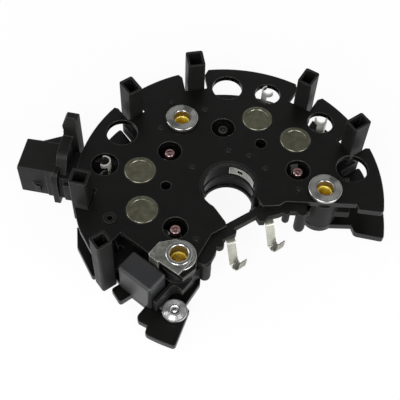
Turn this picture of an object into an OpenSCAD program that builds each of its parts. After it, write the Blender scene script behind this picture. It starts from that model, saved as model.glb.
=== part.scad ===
// Alternator rectifier: two heat sinks with press-fit diodes, held apart by one moulded terminal carrier.
// Lengths are millimetres. The shaft axis is Z, bolt B lies on +X and the part rests on z = 0.

/* [Heat sinks] */
// outer radius of the upper, positive heat sink
plate_r = 61.8; // [60:0.1:64]
// thickness of the upper heat sink
plate_t = 2.6; // [2:0.1:3.6]
// outer radius of the lower, negative heat sink at its lugs
low_r = 65.4; // [63:0.1:68]
// outer radius of the lower heat sink between its lugs
low_back_r = 61.8; // [60:0.1:62.6]
// thickness of the lower heat sink
low_t = 3; // [2.4:0.1:4]
// clear height between the two heat sinks
gap_h = 14.4; // [13.8:0.1:18]
// radius of the hub opening in the lower heat sink
hub_r = 14; // [13:0.1:16]
// distance of the right arm's front edge from the shaft axis
arm_edge = 7.2; // [7:0.1:9]
// distance of the right arm's end step from the shaft axis
arm_end = 50.5; // [48:0.1:54]
// radius of the plain rim windows
window_r = 6.4; // [5.5:0.1:7]
// radius of the rim windows round the terminals
term_window_r = 5.4; // [4.6:0.1:6]
// radius of the circle that carries the rim windows and terminals
window_ring = 51; // [50:0.1:53]
// width of the rim that stays outside the windows
rim_wall = 3.4; // [2:0.1:4]
// radius of the lead access holes
access_r = 4.8; // [4:0.1:5.4]

/* [Bolts] */
// radius of the bolt circle
bolt_ring = 38.2; // [37:0.1:40]
// angle of bolt A
bolt_a = 122.8; // [120:0.1:125]
// angle of bolt C
bolt_c = 241.5; // [239:0.1:244]
// bore of the steel liners
bolt_d = 5.4; // [4.4:0.1:6]
// wall of the steel liners
liner_wall = 0.7; // [0.5:0.05:1]
// depth of the liner's end below the bushing head
liner_drop = 3.2; // [1:0.1:4]
// wall of the bushing tube
bush_wall = 1.2; // [0.8:0.05:1.6]
// radius of the bushing head
head_r = 6.8; // [6.4:0.1:7.1]
// thickness of the bushing head
head_t = 1.2; // [0.8:0.1:2]
// height of the bushing foot below the lower heat sink
foot_h = 0.8; // [0.6:0.1:1.6]
// width of the bushing foot beyond its tube
foot_w = 0.7; // [0.4:0.1:1]
// thickness of the insulating washers
washer_t = 0.6; // [0.4:0.1:1]

/* [Diodes] */
// diameter of the press-fit diode cups
cup_d = 12.75; // [12:0.05:13.2]
// height of the diode cups
cup_h = 8; // [7:0.1:8.4]
// wall of the diode cups
cup_wall = 1.3; // [1:0.1:2]
// depth of the resin pocket
fill_h = 2.6; // [2:0.1:4]
// radius of the coined dish in the cup base
dish_r = 4.7; // [3:0.1:5]
// depth of the coined dish
dish_h = 0.25; // [0.1:0.05:0.6]
// height of the cup base above its heat sink
cup_proud = 0.5; // [0.2:0.1:0.7]
// diameter of the diode leads
lead_d = 1.6; // [1.2:0.1:2]
// radius of the formed end of the long leads
lead_end_r = 2.1; // [1.3:0.1:2.4]
// radius of the dimple in the formed end of the long leads
dimple_r = 1.2; // [0.6:0.1:1.2]
// radius of the circle of upper diodes
pos_ring = 36.4; // [36:0.1:37]
// radius of the circle of lower diodes
neg_ring = 29.2; // [28.6:0.1:29.8]
// middle angle of the left pair of phases
pair_left = 187; // [185:0.5:189]
// middle angle of the right pair of phases
pair_right = 57.5; // [56:0.5:59]
// half angle between the upper diodes of a pair
pos_spread = 15; // [14:0.5:16]
// half angle between the lower diodes of a pair
neg_spread = 39; // [38:0.5:40]

/* [Terminals] */
// thickness of the phase conductors
strip_t = 0.8; // [0.5:0.1:1]
// width of the phase conductors
strip_w = 4; // [3:0.1:4.6]
// height of the weld tabs beside the left pair of long leads
weld_h = 4.4; // [2:0.1:5]
// radius of the rolled terminal tabs
roll_r = 2.6; // [2:0.1:3]
// height of the rolled tabs above the upper heat sink
roll_h = 2.5; // [1:0.1:4]
// thickness of the regulator hooks
hook_t = 0.6; // [0.4:0.1:0.8]
// width of the regulator hooks
hook_w = 3.6; // [3:0.1:4.8]
// reach of the regulator hooks
hook_l = 11.2; // [7:0.1:12]
// middle radius of the bend in the regulator hooks' feet
hook_bend = 1.75; // [1.4:0.05:1.9]
// thickness of the output strap
strap_t = 0.9; // [0.6:0.1:1.2]

/* [Carrier] */
// height of the lead posts above the upper heat sink
post_h = 14.3; // [10:0.1:18]
// length of a lead post along the radius
post_l = 8.5; // [7.6:0.1:9]
// width of a lead post
post_w = 6.3; // [5.6:0.1:7]
// wall of the lead posts
post_wall = 1; // [0.7:0.1:1.4]
// radius of the circle of lead posts
post_ring = 56.2; // [55.6:0.1:57]
// gap between a post and the notch round it
notch_gap = 1.8; // [1:0.1:2.2]
// bore radius of the shaft collar
collar_r = 10.4; // [9.6:0.1:10.8]
// wall of the shaft collar
collar_wall = 1.2; // [1:0.1:1.8]
// outer radius of the carrier web
web_r = 49.5; // [48.5:0.1:50.5]
// height of the collar's lip above the upper heat sink
lip_h = 0.6; // [0.2:0.1:3]
// wall of the capacitor pocket
lip_t = 1.4; // [1:0.1:1.8]
// radius of the two guide pegs
peg_r = 2.3; // [1.6:0.1:2.6]
// length of the two guide pegs
peg_l = 11; // [6:0.1:11.4]
// radius of the stake pins
stake_r = 1.1; // [0.8:0.1:1.4]

/* [Plug] */
// width of the plug housing
plug_w = 15.4; // [13:0.1:16.4]
// height of the plug housing
plug_h = 16.8; // [14:0.1:17.4]
// length of the plug housing outside its flange
plug_l = 14.2; // [12:0.1:17]
// wall of the plug housing
plug_wall = 1.8; // [1.2:0.1:2.4]
// depth of the plug mouth
plug_deep = 12; // [9:0.1:13.6]
// thickness of the plug flange
flange_t = 2.6; // [2:0.1:3.6]
// width of the plug blades
blade_w = 4; // [3:0.1:5]

/* [Capacitor] */
// length of the capacitor block
cap_l = 16.4; // [14:0.1:16.6]
// width of the capacitor block
cap_w = 9.8; // [8:0.1:10]
// height of the capacitor block
cap_h = 16; // [12:0.1:17.4]
// bevel on the capacitor edges
cap_bevel = 0.9; // [0.4:0.1:1.6]
// thickness of the earth tab
tab_t = 0.9; // [0.6:0.1:1.2]
// radius of the rivet head
rivet_r = 4.9; // [4:0.1:5.2]
// height of the rivet head
rivet_h = 1.9; // [1.2:0.1:2.6]
// radius of the rivet shank
shank_r = 2.4; // [1.8:0.1:2.8]

/* [Hidden] */
$fn = 64;
// snug clearance at round fits
snug = 0.03;
// free clearance round the carrier's pins and conductors
free = 0.15;

// heights of the stack, from the surface that the bushing feet stand on
low_z0 = foot_h;
low_z1 = low_z0 + low_t;
top_z0 = low_z1 + gap_h;
top_z1 = top_z0 + plate_t;
post_z = top_z1 + post_h;
neg_base = low_z0 - cup_proud;
pos_base = top_z1 + cup_proud;
web_z0 = neg_base + cup_h + 0.6;
web_z1 = pos_base - cup_h - 1;
block_z1 = top_z0 - 0.4;
block_z0 = block_z1 - 3;
bush_ri = bolt_d / 2 + liner_wall;
bush_ro = bush_ri + bush_wall;
spigot_r = bush_ro + 1;
spacer_r = spigot_r + 1.2;
collar_ro = collar_r + collar_wall;
cup_r = cup_d / 2;
lead_r = lead_d / 2;

function pol(r, a) = [r * cos(a), r * sin(a)];
// n + 1 points round c, from angle a to angle b
function arc(c, r, a, b, n) = [for (k = [0 : n]) c + pol(r, a + (b - a) * k / n)];
function bevel_rect(l, w, c) = [
    [-l / 2 + c, -w / 2], [l / 2 - c, -w / 2], [l / 2, -w / 2 + c], [l / 2, w / 2 - c],
    [l / 2 - c, w / 2], [-l / 2 + c, w / 2], [-l / 2, w / 2 - c], [-l / 2, -w / 2 + c]];

bolts = [pol(bolt_ring, bolt_a), pol(bolt_ring, 0), pol(bolt_ring, bolt_c)];
pos_angle = [pair_left - pos_spread, pair_left + pos_spread,
    pair_right + pos_spread, pair_right - pos_spread];
neg_angle = [pair_left - neg_spread, pair_left + neg_spread,
    pair_right + neg_spread, pair_right - neg_spread];
// directions of the weld tabs from their leads
weld_angle = [221, 184];
// lead posts: ring radius, angle, direction of the long side, length, width, foot height
posts = [
    [post_ring + 2, 189.2, 170, post_l - 1.2, post_w + 0.6, web_z0],
    [post_ring, 138.6, 128, post_l, post_w, low_z1 - 1.2],
    [post_ring, 106.9, 102.5, post_l, post_w + 1, low_z1 - 1.2],
    [post_ring, 56.4, 61, post_l, post_w, low_z1 - 1.2],
    [post_ring, 25.8, 37, post_l, post_w, low_z1 - 1.2],
    [post_ring + 2.9, 218.2, 218.2, post_l - 1.9, post_w, low_z1 - 1.2]];
window_angle = [152.2, 92.4, 13];
cap_turn = -36.5;
cap_at = [-31.8, -39.8];
rivet_at = [15.8, 0.5];
peg_at = [[29.4, -8.4], [-8, -33]];
hook_at = [[0.9, -20.8], [15.9, -11.5]];
knob_at = [-3, -25.2];
knob_r = 1.9;
stakes = [pol(17, 32.5), pol(17, 62.5), pol(17, 92.5), pol(17, 152.5), pol(39.6, 106.5),
    pol(39.6, 137.3), pol(48, 121.8), pol(27.8, 359.4), pol(47.6, 6.8), pol(28.4, 245)];

// Local frames and small profiles

module cap_frame() {
    translate(cap_at)
        rotate(cap_turn)
            children();
}

module plug_frame() {
    translate([-84.6, 11.3, 0])
        rotate(-8.2)
            children();
}

// a 2-D shape in the cross plane of the plug, drawn out along its axis
module along_plug(from, to) {
    translate([from, 0, 0])
        rotate([90, 0, 90])
            linear_extrude(to - from)
                children();
}

module slab(z0, z1) {
    translate([0, 0, z0])
        linear_extrude(z1 - z0)
            children();
}

module bar_2d(a, b, t) {
    d = b - a;
    translate(a)
        rotate(atan2(d[1], d[0]))
            translate([-t / 2, -t / 2])
                square([norm(d) + t, t]);
}

module post_frame(p) {
    translate(pol(p[0], p[1]))
        rotate(p[2])
            children();
}

// notch in a heat sink round one lead post, open to the rim, with its mouth flared by the last value
module notch_2d(p, gap, flare) {
    half = post_w / 2 + gap;
    post_frame(p)
        translate([-p[3] / 2 - 0.4, 0])
            polygon([[0, -half], [7.6, -half], [16, -half - flare],
                [16, half + flare], [7.6, half], [0, half]]);
}

// Heat sinks

module upper_bay_2d() {
    polygon([[0, 0], [collar_ro - 1, -4], [13.4, -arm_edge - 1.8], [19.5, -arm_edge - 1.8],
        [22.5, -arm_edge], [arm_end, -arm_edge], [arm_end, -90], [-16.3, -90], [-16.3, -43],
        [-11.6, -38.4], [-11.2, -33.6], [-6.2, -23], [-0.5, -19], [-1, -17.1], [-4.9, -11.5],
        pol(collar_ro - 0.6, 216)]);
    translate([arm_end, -arm_edge - 0.5])
        rotate(-8)
            translate([0, -40])
                square([40, 40]);
}

// straight cut along the capacitor, and the slanted end of the left arm
module left_cuts_2d(edge) {
    cap_frame()
        translate([-16.6, edge - 60])
            square([60, 60]);
    translate([-57.9, -22.6])
        rotate(-59)
            translate([-40, -30])
                square([80, 30]);
}

module windows_2d() {
    for (a = window_angle)
        translate(pol(window_ring, a))
            circle(window_r);
    for (i = [0, 2, 3])
        translate(pol(window_ring, pos_angle[i]))
            circle(term_window_r);
}

module positive_heat_sink() {
    color([0.13, 0.13, 0.13]) {
        slab(top_z0, top_z1)
            difference() {
                circle(plate_r, $fn = 128);
                circle(collar_ro + free);
                upper_bay_2d();
                left_cuts_2d(6.9);
                for (p = posts)
                    notch_2d(p, notch_gap, 6.4);
                for (a = pos_angle)
                    translate(pol(pos_ring, a))
                        circle(cup_r + snug);
                for (a = neg_angle)
                    translate(pol(neg_ring, a))
                        circle(access_r);
                intersection() {
                    circle(plate_r - rim_wall, $fn = 128);
                    windows_2d();
                }
                // room for the rolled tabs, inside their windows
                for (i = [0, 2, 3])
                    translate(pol(window_ring, pos_angle[i]))
                        circle(roll_r + free);
                translate(pol(window_ring - 1.6, pos_angle[1]))
                    circle(roll_r + free);
                for (i = [0, 1])
                    translate(bolts[i])
                        circle(spigot_r + snug);
                translate(bolts[2])
                    circle(bush_ro + snug);
                for (s = stakes)
                    translate(s)
                        circle(stake_r + free);
                translate(pol(25.3, 183.7))
                    circle(2);
                translate(pol(25.1, 60.1))
                    circle(2.3);
            }
        // drawn collars that grip the diode cups
        slab(top_z0 - 1.6, top_z0)
            for (a = pos_angle)
                translate(pol(pos_ring, a))
                    difference() {
                        circle(cup_r + 1.4);
                        circle(cup_r + snug);
                    }
    }
}

module lower_bay_2d() {
    difference() {
        polygon([[0, 0], [30, 0.6], [bolt_ring, -arm_edge + 1.6], [arm_end + 1, -arm_edge + 2],
            [arm_end + 2.2, -arm_edge - 1.6], [90, -15], [90, -90], [-26.2, -90], [-13.2, -47.6],
            [-14.8, -45.2], [-9.6, -35.8], [-9, -11]]);
        translate(bolts[1])
            circle(bush_ro + foot_w + 1.7);
    }
    // open corner beside the rivet tab, under the capacitor
    polygon([[-29.5, -90], [-29.5, -57.5], [-29.1, -54.8], [-32.4, -53.2], [-33.3, -51.2],
        [-30.2, -46.6], [-35.9, -42.3], [-40.2, -45.8], [-45, -39], [-60, -45]]);
}

// outline of the lower heat sink: a plain back and three lugs that reach further out
module lower_outline_2d() {
    circle(low_back_r, $fn = 128);
    intersection() {
        circle(low_r, $fn = 128);
        union() {
            polygon([[0, 0], pol(90, -20), pol(90, 9)]);
            polygon([[0, 0], pol(90, 192), pol(90, 221)]);
            polygon([[0, 0], pol(90, 238), pol(90, 260)]);
        }
    }
}

module negative_heat_sink() {
    color([0.16, 0.16, 0.17])
        slab(low_z0, low_z1)
            difference() {
                lower_outline_2d();
                circle(hub_r);
                lower_bay_2d();
                // slanted end of the left lug
                polygon([[-61.9, -5], [-59.6, -22.2], [-50, -38.9], [-90, -60], [-90, -5]]);
                for (p = posts)
                    notch_2d(p, notch_gap - 0.8, 0);
                for (a = neg_angle)
                    translate(pol(neg_ring, a))
                        circle(cup_r + snug);
                for (i = [0, 1])
                    translate(bolts[i])
                        circle(bush_ro + snug);
                translate(bolts[2])
                    circle(spigot_r + snug);
                cap_frame()
                    translate(rivet_at)
                        circle(shank_r + snug);
            }
}

// Terminal carrier, one moulding

module strip_2d(i, grow) {
    pos = pol(pos_ring, pos_angle[i]);
    neg = pol(neg_ring, neg_angle[i]);
    out = pol(i == 1 ? window_ring - 1.6 : window_ring, pos_angle[i]);
    bar_2d(out, pos, strip_w + 2 * grow);
    bar_2d(pos, neg, strip_w - 1 + 2 * grow);
    translate(pos)
        circle(lead_r + 2 + grow);
    translate(neg)
        circle(lead_r + 2.1 + grow);
    translate(out)
        circle((i == 1 ? roll_r + 1.6 : roll_r + 0.3) + grow);
}

module web_2d() {
    difference() {
        union() {
            circle(web_r, $fn = 128);
            translate(pol(window_ring - 1.6, pos_angle[1]))
                circle(roll_r + 2.4);
        }
        circle(collar_r + 0.3);
        polygon([[0, 0], [12, -arm_edge + 2.6], [60, -arm_edge + 2.6], [60, -90], [-16.3, -90],
            [-16.3, -44], [-12.6, -38.4], [-12.2, -33.6], [-9.4, -24], [-6, -18.6], [-9, -8]]);
        left_cuts_2d(6.2);
    }
    // arms out to the lead posts, broad ones at the two far posts
    for (p = posts)
        bar_2d(pol(web_r - 4, p[1]), pol(p[0] - p[3] / 2, p[1]), p[4] - 2 * post_wall);
    for (i = [1, 4])
        post_frame(posts[i])
            translate([-14, -posts[i][4] / 2 - 1.6])
                square([14, posts[i][4] + 3.2]);
}

module collar() {
    rotate([0, 0, -34])
        rotate_extrude(angle = 244)
            polygon([[collar_r, low_z1], [collar_ro, low_z1], [collar_ro, top_z1 + lip_h / 2],
                [collar_ro - 0.3, top_z1 + lip_h], [collar_r + 0.1, top_z1 + lip_h],
                [collar_r - 0.2, top_z1 + lip_h / 2], [collar_r - 0.2, top_z1 - 1.2],
                [collar_r + 0.5, top_z1 - 1.8], [collar_r + 0.5, web_z1], [collar_r + 0.1, web_z1],
                [collar_r + 0.1, web_z1 - 1.2], [collar_r + 0.5, web_z1 - 1.2],
                [collar_r + 0.5, low_z1 + 2.4], [collar_r, low_z1 + 2]]);
}

module lead_post(p) {
    slab(p[5], post_z)
        post_frame(p)
            difference() {
                polygon(bevel_rect(p[3], p[4], 0.6));
                square([p[3] - 2 * post_wall, p[4] - 2 * post_wall], center = true);
            }
}

module peg() {
    rotate_extrude()
        polygon(concat([[0, 2], [peg_r, 2]],
            [for (k = [0 : 3]) [peg_r * cos(k * 24), peg_r - peg_l - peg_r * sin(k * 24)]],
            [[0, -peg_l]]));
}

// front edge of the carrier: left block, bridge bar and right block
module front_2d() {
    polygon([[-2, -19.4], [0.2, -16.8], [3.6, -18.8], [3.2, -20.6], [-0.4, -22.8], [-2.8, -24.2], [-3.8, -26],
        [-4.2, -29.2], [-5.8, -33], [-8, -35], [-10.6, -34.4], [-13.2, -32], [-8.6, -23.4]]);
    bar_2d([0.7, -17.3], [11.4, -9.8], 3.4);
    polygon([[10, -8.6], [13.4, -6], [32, -arm_edge + 3], [32.4, -arm_edge - 1.6], [22.6, -arm_edge - 1.8],
        [20.4, -10.4], [16, -11.9], [14.4, -14.2], [12.4, -14.4], [11.2, -12.4]]);
    translate(peg_at[0])
        circle(peg_r);
    translate(knob_at)
        circle(knob_r, $fn = 24);
}

module plug_housing() {
    mid = low_z1 - 0.2 + plug_h / 2;
    plug_frame() {
        difference() {
            union() {
                along_plug(0, plug_l + 1)
                    translate([0, mid])
                        polygon(bevel_rect(plug_w, plug_h, 0.7));
                // flange round the front and the underside
                along_plug(plug_l, plug_l + flange_t)
                    translate([0, mid])
                        polygon([[-plug_w / 2 - 1.6, -plug_h / 2 - 2], [plug_w / 2 + 2, -plug_h / 2 - 2],
                            [plug_w / 2 + 2, plug_h / 2 - 1], [-plug_w / 2 + 0.6, plug_h / 2 - 0.4],
                            [-plug_w / 2 - 1, plug_h / 2 - 1.6], [-plug_w / 2 - 2, plug_h / 2 - 4],
                            [-plug_w / 2 - 2, -plug_h / 2 - 1.6]]);
                // curved band behind it, rising to the ear at the rear
                along_plug(plug_l + 0.8, plug_l + 2 * flange_t)
                    polygon(concat(
                        [[-plug_w / 2 - 0.8, low_z1 + 1], [plug_w / 2 + 4, low_z1 + 1],
                            [plug_w / 2 + 4, top_z1 + 4.4]],
                        arc([plug_w / 2 + 1.2, top_z1 + 6.6], 2.8, 300, 250, 4),
                        arc([1.6, top_z1 - 0.4], 4.2, 90, 150, 6),
                        arc([-7.6, top_z1 - 0.6], 4.2, 310, 280, 4)));
                intersection() {
                    along_plug(plug_l + 1.2, plug_l + 7)
                        translate([plug_w / 2, 0])
                            polygon([[1, low_z1 + 1], [7, low_z1 + 1], [7, post_z - 2.4],
                                [5.4, post_z - 0.3], [2.8, post_z - 0.3], [1, post_z - 4]]);
                    translate([plug_l, plug_w / 2 + 8, 0])
                        rotate([90, 0, 0])
                            linear_extrude(8)
                                polygon([[0, low_z1], [8, low_z1], [8, post_z - 2.6],
                                    [5.9, post_z - 0.2], [2.9, post_z - 0.2], [1, post_z - 4.6],
                                    [1.5, post_z - 7.4], [0, post_z - 9]]);
                }
                // neck that joins the housing to the web
                along_plug(plug_l + 1, 27)
                    translate([-plug_w / 2 + 0.6, low_z1 + 1])
                        square([plug_w - 1, gap_h - 2.4]);
                along_plug(19, 27)
                    translate([-plug_w / 2 - 1.6, low_z1 + 1])
                        square([plug_w / 2 + 1.6, gap_h - 4]);
                // upright rib and latch wedge on the front wall
                along_plug(plug_l - 2.4, plug_l + 0.4)
                    translate([0, mid])
                        polygon(bevel_rect(plug_w + 2, plug_h - 0.8, 1.2));
                translate([0, -plug_w / 2, mid])
                    slab(-4.6, -0.6)
                        polygon([[4, 0.6], [9, 0.6], [9, -1.5], [7.6, -1.5]]);
                // gusset on the rear wall
                translate([0, plug_w / 2, mid])
                    slab(2, plug_h / 2)
                        polygon([[6, -0.6], [plug_l + 1, -0.6], [plug_l + 1, 4.6]]);
            }
            along_plug(-1, plug_deep)
                translate([0, mid])
                    polygon(bevel_rect(plug_w - 2 * plug_wall, plug_h - 2 * plug_wall, 1.4));
            for (s = [-1, 1])
                along_plug(plug_deep - 1, plug_deep + 4 + free)
                    translate([s * 2.6, mid])
                        square([strip_t + 2 * snug, blade_w + 2 * snug], center = true);
        }
    }
}

module terminal_carrier() {
    color([0.2, 0.2, 0.21])
        difference() {
            union() {
                slab(web_z0, web_z1)
                    web_2d();
                collar();
                for (p = posts)
                    lead_post(p);
                slab(block_z0, block_z1)
                    front_2d();
                // hidden ribs that tie the front blocks to the web
                slab(web_z0, block_z1) {
                    bar_2d([16, -arm_edge + 4], [30, -arm_edge + 4], 2.4);
                    bar_2d([-10.6, -24.6], [-13.6, -33], 3);
                }
                slab(block_z0 - 3.4, block_z1)
                    translate([23.2, -arm_edge - 1.8])
                        circle(1.5, $fn = 24);
                // spacers round the bushings, and the insulating spigots
                slab(low_z1, top_z0)
                    for (b = bolts)
                        translate(b)
                            circle(spacer_r);
                for (i = [0, 1])
                    slab(top_z0 - 1, top_z1)
                        translate(bolts[i])
                            circle(spigot_r);
                slab(low_z0, low_z1 + 1)
                    translate(bolts[2])
                        circle(spigot_r);
                for (p = peg_at)
                    translate([p[0], p[1], block_z0])
                        peg();
                slab(web_z1 - 1, top_z1 + 0.35)
                    for (s = stakes)
                        translate(s)
                            circle(stake_r, $fn = 24);
                // ring boss over the fourth terminal
                slab(web_z0, top_z1 + 0.8)
                    translate(pol(window_ring - 1.6, pos_angle[1]))
                        circle(roll_r, $fn = 32);
                // wall of the capacitor pocket
                slab(low_z1 + tab_t + 0.3, web_z1)
                    cap_frame() {
                        bar_2d([cap_l / 2 + 1.6, -3.4], [cap_l / 2 + 1.6, 5.4], lip_t);
                        bar_2d([cap_l / 2 + 1.6, 5.4], [cap_l / 2 + 4, 9.4], lip_t);
                        bar_2d([cap_l / 2 + 4, 9.4], [cap_l / 2 + 5, 18.4], lip_t);
                    }
                // inner end of the plug's neck, level with the web
                slab(web_z0, web_z1)
                    plug_frame()
                        translate([26, -plug_w / 2 + 0.6])
                            square([14, plug_w - 1]);
                // shelf between the left arm and the last post
                slab(web_z0, web_z1)
                    bar_2d([-38, -27], [-45.4, -35], 4);
                plug_housing();
            }
            for (b = bolts)
                slab(low_z0 - 1, top_z1 + 1)
                    translate(b)
                        circle(bush_ro + snug);
            for (p = posts)
                slab(low_z0, post_z + 1)
                    post_frame(p)
                        square([p[3] - 2 * post_wall, p[4] - 2 * post_wall], center = true);
            slab(web_z1 - strip_t, web_z1 + 0.4)
                for (i = [0 : 3])
                    difference() {
                        strip_2d(i, free);
                        if (i == 1)
                            translate(pol(window_ring - 1.6, pos_angle[1]))
                                circle(roll_r, $fn = 32);
                    }
            slab(web_z0 - 1, web_z1 + 1)
                for (i = [0 : 3]) {
                    translate(pol(neg_ring, neg_angle[i]))
                        circle(lead_r + free, $fn = 32);
                    translate(pol(pos_ring, pos_angle[i]))
                        circle(lead_r + free, $fn = 32);
                }
            slab(top_z1 - 3, top_z1 + 1)
                translate(pol(window_ring - 1.6, pos_angle[1]))
                    circle(1.1, $fn = 24);
            // room for the lower diode cups
            slab(low_z0, neg_base + cup_h + 0.3)
                for (a = neg_angle)
                    translate(pol(neg_ring, a))
                        circle(cup_r + free);
            for (h = hook_at)
                hook_frame(h) {
                    translate([-hook_w / 2 - snug, -1, -hook_t / 2 - snug])
                        cube([hook_w + 2 * snug, 5, hook_t + 2 * snug]);
                    translate([-hook_w / 2 - free, -7, -4])
                        cube([hook_w + 2 * free, 6.4, 5]);
                }
        }
}

// Diodes, each a cup, a headed lead and a resin fill

module diode_cup() {
    rotate_extrude()
        polygon([[0, dish_h], [dish_r - dish_h, dish_h], [dish_r, 0], [cup_r - 0.4, 0], [cup_r, 0.4],
            [cup_r, cup_h - 0.3], [cup_r - 0.3, cup_h], [cup_r - cup_wall, cup_h],
            [cup_r - cup_wall, cup_h - fill_h], [0, cup_h - fill_h]]);
}

module diode_lead(len) {
    translate([0, 0, cup_h - fill_h])
        rotate_extrude($fn = 32)
            polygon([[0, 0], [lead_r + 1.4, 0], [lead_r + 1.4, 0.6], [lead_r, 0.6], [lead_r, len - 0.3],
                [lead_r - 0.3, len], [0, len]]);
}

module diode_fill() {
    translate([0, 0, cup_h - fill_h])
        rotate_extrude()
            polygon([[lead_r + 1.4 + snug, 0], [cup_r - cup_wall - snug, 0],
                [cup_r - cup_wall - snug, fill_h - 0.3], [lead_r + snug, fill_h], [lead_r + snug, 0.6],
                [lead_r + 1.4 + snug, 0.6]]);
}

module at_positive(i) {
    translate(concat(pol(pos_ring, pos_angle[i]), [pos_base]))
        mirror([0, 0, 1])
            children();
}

module at_negative(i) {
    translate(concat(pol(neg_ring, neg_angle[i]), [neg_base]))
        children();
}

module positive_diode(i) {
    color([0.42, 0.42, 0.36])
        at_positive(i)
            diode_cup();
}

module negative_diode(i) {
    color([0.42, 0.42, 0.36])
        at_negative(i)
            diode_cup();
}

module positive_lead(i) {
    color([0.72, 0.45, 0.3])
        at_positive(i)
            diode_lead(pos_base - web_z1 + strip_t + 0.8 - cup_h + fill_h);
}

module negative_lead(i) {
    end_h = top_z1 - web_z1 - 1;
    color([0.72, 0.45, 0.3])
        at_negative(i) {
            diode_lead(web_z1 - neg_base - cup_h + fill_h + 1);
            // swaged end that stands on the phase conductor
            rotate_extrude($fn = 32)
                translate([0, web_z1 - neg_base])
                    polygon([[0, 0], [lead_end_r, 0], [lead_end_r, end_h - 0.5],
                        [lead_end_r - 0.15, end_h - 0.15], [lead_end_r - 0.5, end_h], [dimple_r, end_h - 0.1],
                        [dimple_r - 0.4, end_h - 1], [0, end_h - 1.2]]);
        }
}

module positive_fill(i) {
    color([0.1, 0.1, 0.1])
        at_positive(i)
            diode_fill();
}

module negative_fill(i) {
    color([0.1, 0.1, 0.1])
        at_negative(i)
            diode_fill();
}

// Phase conductors, with rolled upright tabs in the rim windows

module phase_terminal(i) {
    out = pol(i == 1 ? window_ring - 1.6 : window_ring, pos_angle[i]);
    color([0.8, 0.8, 0.78])
        difference() {
            union() {
                slab(web_z1 - strip_t, web_z1)
                    strip_2d(i, 0);
                if (i < 2)
                    slab(web_z1 - strip_t / 2, web_z1 + weld_h)
                        translate(pol(neg_ring, neg_angle[i]))
                            rotate(weld_angle[i])
                                translate([lead_end_r + free, -0.7])
                                    square([0.5, 1.4]);
                if (i != 1)
                    slab(web_z1 - strip_t / 2, top_z1 + roll_h)
                        translate(out)
                            rotate(pos_angle[i])
                                difference() {
                                    circle(roll_r, $fn = 32);
                                    circle(roll_r - 0.7, $fn = 32);
                                    translate([roll_r, 0])
                                        square([2 * roll_r, 2.2], center = true);
                                }
            }
            slab(web_z0, top_z1)
                translate(pol(pos_ring, pos_angle[i]))
                    circle(lead_r + snug, $fn = 32);
            slab(web_z0, top_z1)
                translate(pol(neg_ring, neg_angle[i]))
                    circle(lead_r + snug, $fn = 32);
            if (i == 1)
                slab(web_z0, top_z1)
                    translate(out)
                        circle(roll_r + snug, $fn = 32);
        }
}

// Bushings, liners and washers at the three bolts

function head_z(i) = i == 2 ? top_z1 : top_z1 + washer_t;

module bushing(i) {
    z = head_z(i);
    color([0.8, 0.8, 0.82])
        translate(bolts[i])
            rotate_extrude()
                polygon([[bush_ri, 0], [bush_ro + foot_w, 0], [bush_ro + foot_w, low_z0], [bush_ro, low_z0],
                    [bush_ro, z], [head_r, z], [head_r, z + head_t - 0.3], [head_r - 0.3, z + head_t],
                    [bush_ri + 0.5, z + head_t], [bush_ri, z + head_t - 0.5]]);
}

module sleeve(i) {
    color([0.85, 0.68, 0.2])
        translate(bolts[i])
            slab(0, head_z(i) + head_t - liner_drop)
                difference() {
                    circle(bush_ri - snug);
                    circle(bolt_d / 2);
                }
}

module washer(i) {
    color([0.6, 0.3, 0.15])
        translate(bolts[i])
            slab(top_z1, top_z1 + washer_t)
                difference() {
                    circle(head_r - 0.2);
                    circle(bush_ro + snug);
                }
}

// Capacitor, its output strap, its earth tab and the rivet

module output_strap() {
    z = top_z1 + head_t;
    edge = cap_w / 2 + 0.4;
    color([0.75, 0.75, 0.74])
        difference() {
            union() {
                slab(z, z + strap_t)
                    translate(bolts[2])
                        rotate(cap_turn)
                            polygon([[-8.8, -7.2], [-9, -0.9], [-4.8, 4.3], [2.6, 4.7],
                                [5.6, 2.2], [5.6, -6.9], [-3.8, -7.3]]);
                // tongue folded down beside the capacitor, with its soldered foot
                slab(top_z0 - 4, z + strap_t)
                    cap_frame()
                        translate([-1, edge])
                            square([4.4, strap_t]);
                slab(z, z + strap_t)
                    cap_frame()
                        translate([-1, edge])
                            square([4.4, 3]);
                slab(top_z0 - 4, top_z0 - 4 + strap_t)
                    cap_frame()
                        translate([-1, cap_w / 2])
                            square([4.4, 0.4 + strap_t]);
            }
            slab(z - 1, z + strap_t + 1)
                translate(bolts[2])
                    circle(bush_ri + 0.5);
        }
}

module capacitor_body() {
    z = low_z1 + cap_h / 2;
    color([0.25, 0.25, 0.27])
        cap_frame()
            intersection() {
                slab(low_z1, low_z1 + cap_h)
                    polygon(bevel_rect(cap_l, cap_w, cap_bevel));
                translate([-cap_l, 0, z])
                    rotate([90, 0, 90])
                        linear_extrude(2 * cap_l)
                            polygon(bevel_rect(cap_w, cap_h, cap_bevel));
                translate([0, cap_w, z])
                    rotate([90, 0, 0])
                        linear_extrude(2 * cap_w)
                            polygon(bevel_rect(cap_l, cap_h, cap_bevel));
            }
}

module ground_tab() {
    color([0.75, 0.75, 0.74])
        slab(low_z1, low_z1 + tab_t)
            cap_frame()
                difference() {
                    union() {
                        translate([cap_l / 2, rivet_at[1] - 2.4])
                            square([rivet_at[0] - cap_l / 2, 4.8]);
                        translate(rivet_at)
                            circle(rivet_r - 0.5);
                    }
                    translate(rivet_at)
                        circle(shank_r + snug);
                }
}

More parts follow.
